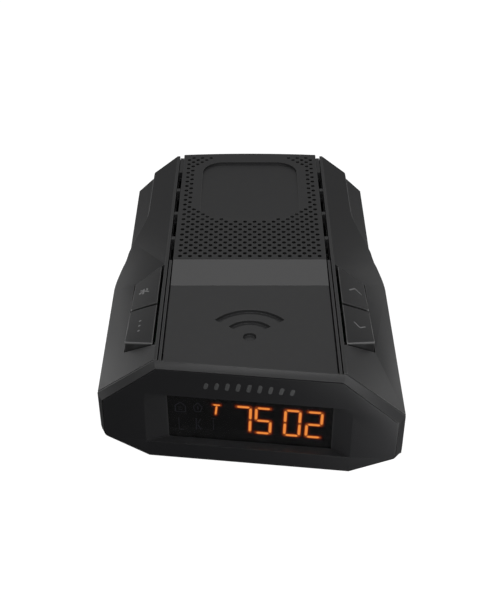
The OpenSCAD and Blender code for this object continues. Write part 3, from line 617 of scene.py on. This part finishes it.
def glowLook(name, strength, roughness):
    # the glow attribute runs from unlit black through deep red to orange
    material, tree, shader = newMaterial(name)
    glow = addNode(tree, "ShaderNodeAttribute", attribute_name="glow", attribute_type="GEOMETRY")
    ramp = addNode(tree, "ShaderNodeValToRGB")
    stops = ramp.color_ramp.elements
    while len(stops) < len(glowStops):
        stops.new(0.5)
    for k, (position, colour) in enumerate(glowStops):
        stops[k].position = position
        stops[k].color = (*colour, 1)
    tree.links.new(glow.outputs["Fac"], ramp.inputs["Fac"])
    tree.links.new(ramp.outputs["Color"], shader.inputs["Emission Color"])
    polish = addNode(tree, "ShaderNodeTexNoise", Scale=900.0, Detail=3.0)
    tree.links.new(addNode(tree, "ShaderNodeTexCoord").outputs["Object"], polish.inputs["Vector"])
    uneven = maths(tree, "MULTIPLY_ADD", polish.outputs[0], 0.12, roughness)
    tree.links.new(uneven, shader.inputs["Roughness"])
    shader.inputs["Base Color"].default_value = (0.003, 0.003, 0.004, 1)
    shader.inputs["Specular IOR Level"].default_value = 0.08
    shader.inputs["Emission Strength"].default_value = strength
    return material


looks["amber"] = glowLook("litAmber", 2.2, 0.3)
looks["display"] = glowLook("haloPanel", 1.6, 0.35)
strokeGlow = []
for (points, faces), line, half in zip(strokeShells, strokeLines, strokeHalves):  # brightest along the middle
    x = (points[:, 0] - displayEnd["strokeDepth"] * math.sin(turnAngle)) / math.cos(turnAngle)
    off = lineDistance(x, points[:, 2], line[None]) / half
    strokeGlow.append(1.0 - litDigits["edgeLoss"] * np.clip(off, 0, 1) ** 3)
newPiece("litStrokes", strokeShells, looks["amber"], mainBody, "amber", ("display_digits",),
         glow=np.concatenate(strokeGlow))
panel, panelGlow = panelShell()
newPiece("segmentPanel", [panel], looks["display"], mainBody, "display", ("display_panel",), glow=panelGlow)

flatPrint = {"shade": 0.05, "rubAmount": 0.0, "dust": 0.0}
unlitPrint = {**flatPrint, "shade": 0.03}
unlitMarks = {"halfWidth": 0.15, "thickness": 0.012, "lines": (  # a house-like badge, a plaque, the lower row
    ((-17.4, 13.6), (-17.4, 15.4), (-16.2, 16.5), (-15.0, 15.4), (-15.0, 13.6), (-17.4, 13.6)),
    ((-16.7, 14.3), (-15.7, 14.3)), ((-16.7, 15.0), (-15.7, 15.0)),
    ((-12.8, 14.0), (-11.5, 14.0), (-11.1, 15.5), (-12.1, 16.7), (-13.1, 15.5), (-12.8, 14.0)),
    ((-12.1, 14.6), (-12.1, 15.8)),
    ((-16.7, 11.7), (-16.7, 8.0), (-15.6, 8.0)), ((-12.6, 12.0), (-12.6, 8.3)),
    ((-12.3, 10.2), (-11.5, 11.9)), ((-12.3, 10.0), (-11.5, 8.4)),
    ((-9.1, 12.3), (-8.0, 12.3)), ((-8.55, 12.0), (-8.55, 8.6)))}
unlitLook = mouldedPlastic("unlitMarks", (0.07, 0.07, 0.1), (0.08, 0.08, 0.11), **unlitPrint)
unlitPlace = displayPlace(displayEnd["unlitDepth"])
unlitShells = [stroke(line, unlitMarks["halfWidth"], unlitMarks["thickness"], unlitPlace)
               for line in unlitMarks["lines"]]
newPiece("unlitMarks", unlitShells, unlitLook, mainBody, "display")

bezelMark = {"left": -9.7, "right": 9.8, "low": 22.95, "high": 25.15, "bars": 9, "lean": 0.5, "droop": 0.5,
             "halfWidth": 0.46, "thickness": 0.02}


def markShells():
    # slanted bars in an even row, a little shorter towards both ends
    shells = []
    place = displayPlace(displayEnd["faceDepth"], leaning=True)
    for t in np.linspace(0, 1, bezelMark["bars"]):
        x = bezelMark["left"] + t * (bezelMark["right"] - bezelMark["left"])
        top = bezelMark["high"] - bezelMark["droop"] * (2 * t - 1) ** 2
        line = ((x - bezelMark["lean"] / 2, bezelMark["low"]), (x + bezelMark["lean"] / 2, top))
        shells.append(stroke(line, bezelMark["halfWidth"], bezelMark["thickness"], place))
    return shells


markLook = mouldedPlastic("greyMark", (0.052, 0.053, 0.054), (0.06, 0.06, 0.06), **flatPrint)
newPiece("bezelMark", markShells(), markLook, mainBody, "label")
print("display lit")


# keys: caps with a twisted top that lifts towards the outer front corner, in millimetres

keyShape = {"lift": 2.6, "flushY": -6.4, "fullY": -33.4, "innerX": 21.9, "span": 7.5,
            "wingTop": 29.0, "wingEdge": 21.5, "wingFall": 0.787, "clear": 0.06,
            "cornerRadius": 0.35, "edgeRadius": 0.22, "skirt": 2.3,
            "topRings": 10, "edgeRings": 6, "wallRings": 9, "cornerSteps": 6, "sideSteps": 14,
            "front": {"rim": ((22.3, -37.65), (29.3, -33.35), (29.3, -20.0), (22.3, -22.56)),
                      "foot": ((22.25, -37.95), (29.4, -33.65), (29.4, -19.96), (22.25, -22.53))},
            "rear": {"rim": ((22.3, -21.65), (29.3, -19.08), (29.3, -6.4), (22.3, -6.05)),
                     "foot": ((22.25, -21.68), (29.4, -19.11), (29.4, -6.37), (22.25, -6.02))}}
# painted shade on the key walls and painted highlights on their outer and front edges
keyShadeAndHighlight = {"edge": 0.6, "wall": 0.1, "chin": 0.5, "chinY": -34.5, "fade": 0.25,
           "rimX": 28.9, "rimFade": 0.3, "rimY": -33.0, "frontRim": 0.5, "frontFade": 0.4}


def wingHeight(x):
    return keyShape["wingTop"] - keyShape["wingFall"] * (x - keyShape["wingEdge"])


def keyHeight(x, y):
    # the wing's slope, lifted in proportion to the way outwards times the way to the front
    rise = np.clip((keyShape["flushY"] - y) / (keyShape["flushY"] - keyShape["fullY"]), 0, 1)
    lift = keyShape["lift"] * (x - keyShape["innerX"]) / keyShape["span"]
    return wingHeight(x) + keyShape["clear"] + lift * rise


def roundedQuad(corners):
    # outline of four corners, each turned by a small curve, with the same count of points on every side
    corners, radius = np.array(corners, float), keyShape["cornerRadius"]
    outline = []
    for k in range(4):
        here, before, after = corners[k], corners[k - 1], corners[(k + 1) % 4]
        toBefore = (before - here) / np.linalg.norm(before - here) * radius
        toAfter = (after - here) / np.linalg.norm(after - here) * radius
        t = np.linspace(0, 1, keyShape["cornerSteps"])[:, None]
        bend = (1 - t) ** 2 * (here + toBefore) + 2 * t * (1 - t) * here + t ** 2 * (here + toAfter)
        run = np.linspace(0, 1, keyShape["sideSteps"] + 2)[1:-1, None]
        outline += [bend, (here + toAfter) * (1 - run) + (after - toAfter) * run]
    return np.vstack(outline)


def keyRings(place):
    # rings shrink from the rim to the middle of the top, and run down the wall from the rim to the foot
    rim, foot = roundedQuad(keyShape[place]["rim"]), roundedQuad(keyShape[place]["foot"])
    middle = rim.mean(0)
    size = np.linalg.norm(rim - middle, axis=1)[:, None]
    radius = keyShape["edgeRadius"]
    rings = []
    for share in np.linspace(0.08, 0.92, keyShape["topRings"]):
        flat = middle + (rim - middle) * (1 - radius / size) * share
        rings.append(np.column_stack([flat, keyHeight(flat[:, 0], flat[:, 1])]))
    for angle in np.linspace(0, np.pi / 2, keyShape["edgeRings"]):
        flat = middle + (rim - middle) * (1 - radius * (1 - math.sin(angle)) / size)
        height = keyHeight(flat[:, 0], flat[:, 1]) - radius * (1 - math.cos(angle))
        rings.append(np.column_stack([flat, height]))
    low = np.column_stack([foot, wingHeight(foot[:, 0]) - keyShape["skirt"]])
    brow = rings[-1]
    for share in np.linspace(0.1, 1.0, keyShape["wallRings"]):
        rings.append(brow * (1 - share) + low * share)
    return np.array(rings), np.array([*middle, keyHeight(*middle)]), low.mean(0)


def keyShares(rings):
    # the skin-and-shade share is full on top and thins out down the wall, giving the walls painted shade in
    # the gaps rim marks painted highlights on the edges: the outer one in full, the front one in part
    wall = keyShape["wallRings"] + 1
    above = np.clip((rings[..., 2] - wingHeight(rings[..., 0])) / keyShadeAndHighlight["fade"], 0, 1)
    chin = np.clip((keyShadeAndHighlight["chinY"] - rings[..., 1]) / 0.5, 0, 1)
    skin = above * (keyShadeAndHighlight["wall"] + keyShadeAndHighlight["chin"] * chin)
    skin[:-wall] = 1.0
    skin[-wall] = keyShadeAndHighlight["edge"]
    outer = np.clip((rings[..., 0] - keyShadeAndHighlight["rimX"]) / keyShadeAndHighlight["rimFade"], 0, 1)
    front = keyShadeAndHighlight["frontRim"] * np.clip((keyShadeAndHighlight["rimY"] - rings[..., 1]) / keyShadeAndHighlight["frontFade"], 0, 1)
    rim = np.zeros_like(skin)
    rim[-wall - 3:-wall + 1] = np.maximum(outer, front)[-wall - 3:-wall + 1]
    return {"skin": np.append(skin.ravel(), [1.0, 0.0]), "rim": np.append(rim.ravel(), [0.0, 0.0])}


def mirrored(shell):
    points, faces = shell
    return points * np.array([-1, 1, 1]), [face[::-1] for face in faces]


legends = {  # on the right side of the body; each is a list of lines with their half widths
    "up": [(((24.73, -14.3), (26.36, -11.95), (28.07, -13.25)), 0.17)],
    "down": [(((24.75, -27.85), (26.1, -29.45), (27.6, -28.0)), 0.17)],
    "menu": [(((26.35, y - 0.26), (26.0, y + 0.26)), 0.31) for y in (-26.55, -28.55, -30.65)],
    "mute": [(((27.75, -13.2), (26.9, -13.2)), 0.42), (((26.55, -14.4), (26.55, -12.0)), 0.26),
             (((25.85, -13.95), (25.5, -13.2), (25.85, -12.45)), 0.18),
             (((27.5, -11.8), (24.95, -14.75)), 0.16)]}
legendThickness = 0.012
printLook = mouldedPlastic("palePrint", (0.2, 0.2, 0.202), (0.22, 0.22, 0.22), **flatPrint)


def keyPlace(x, y, rise):
    return np.stack([x, y, keyHeight(x, y) + rise], axis=-1)


keyPlaces = (("up", "rear", False), ("down", "front", False), ("mute", "rear", True), ("menu", "front", True))
for keyName, place, flip in keyPlaces:
    rings, topPole, footPole = keyRings(place)
    cap = tubeShell(rings, topPole, footPole)
    marks = [stroke(line, half, legendThickness, keyPlace) for line, half in legends[keyName]]
    if flip:
        cap, marks = mirrored(cap), [mirrored(mark) for mark in marks]
    body = keyName + "_key_body"
    newPiece(keyName + "KeyCap", [cap], looks["key"], body, "key", (keyName + "_key",), **keyShares(rings))
    newPiece(keyName + "Legend", marks, printLook, body, "label")
print("keys capped")


# floor, lights and camera

stage = {"floorSize": 3.0, "floorShade": 0.12, "worldShade": 0.22}

bpy.ops.mesh.primitive_plane_add(size=stage["floorSize"], location=(0, 0, cadBox[0][2]))
floor = bpy.context.object
floor.name = "paleFloor"
floorLook, floorTree, floorShader = newMaterial("paleFloor")
floorShader.inputs["Base Color"].default_value = (*grey(stage["floorShade"]), 1)
floorShader.inputs["Roughness"].default_value = 0.9
floorShader.inputs["Specular IOR Level"].default_value = 0.0
floorShader.inputs["Emission Color"].default_value = (1, 1, 1, 1)
floorPath = addNode(floorTree, "ShaderNodeLightPath")
floorTree.links.new(floorPath.outputs["Is Camera Ray"], floorShader.inputs["Emission Strength"])
floor.data.materials.append(floorLook)

world = bpy.data.worlds.new("studio")
world.use_nodes = True
scene.world = world
worldTree = world.node_tree
backdrop = worldTree.nodes["Background"]
seenDirectly = addNode(worldTree, "ShaderNodeLightPath").outputs["Is Camera Ray"]
shown = maths(worldTree, "MULTIPLY_ADD", seenDirectly, 1.0 - stage["worldShade"], stage["worldShade"])
worldTree.links.new(shown, backdrop.inputs["Strength"])
backdrop.inputs["Color"].default_value = (1, 1, 1, 1)

softLights = {  # name: (place, aim, width, height, power)
    "leftFront": ((-0.062, -0.024, 0.019), (-0.03, -0.024, 0.019), 0.05, 0.014, 0.0026),
    "rightFront": ((0.062, -0.024, 0.019), (0.03, -0.024, 0.019), 0.05, 0.014, 0.0021),
    "leftRear": ((-0.064, 0.02, 0.021), (-0.03, 0.02, 0.021), 0.07, 0.014, 0.0032),
    "rightRear": ((0.064, 0.02, 0.021), (0.03, 0.02, 0.021), 0.07, 0.014, 0.0022),
    "overhead": ((0.0, -0.02, 0.5), (0.0, 0.0, 0.02), 0.5, 0.5, 0.25),
    "floorRight": ((0.045, -0.095, 0.003), (0.026, -0.05, 0.014), 0.04, 0.02, 0.03),
    "frontTop": ((0.0, -0.35, 0.35), (0.0, -0.02, 0.02), 0.5, 0.2, 1.12),
    "rearSky": ((0.0, 0.33, 0.36), (0.0, -0.03, 0.028), 0.3, 0.1, 0.12),
}
for lightName, (place, aim, wide, high, power) in softLights.items():
    data = bpy.data.lights.new(lightName, "AREA")
    data.shape = "RECTANGLE"
    data.size, data.size_y, data.energy = wide, high, power
    lamp = bpy.data.objects.new(lightName, data)
    scene.collection.objects.link(lamp)
    lamp.location = place
    lamp.rotation_euler = (Vector(aim) - Vector(place)).to_track_quat("-Z", "Y").to_euler()
    lamp.visible_camera = False

viewer = {"lens": 61.5, "sensor": 36.0, "place": (0.00019, -0.221147, 0.175108), "tilt": 90 - 36.2}
cameraData = bpy.data.cameras.new("viewer")
cameraData.lens = viewer["lens"]
cameraData.sensor_width = viewer["sensor"]
camera = bpy.data.objects.new("viewer", cameraData)
camera.location = viewer["place"]
camera.rotation_euler = (math.radians(viewer["tilt"]), 0, 0)
scene.collection.objects.link(camera)
scene.camera = camera
scene.view_settings.view_transform = "Standard"

print("stage set")
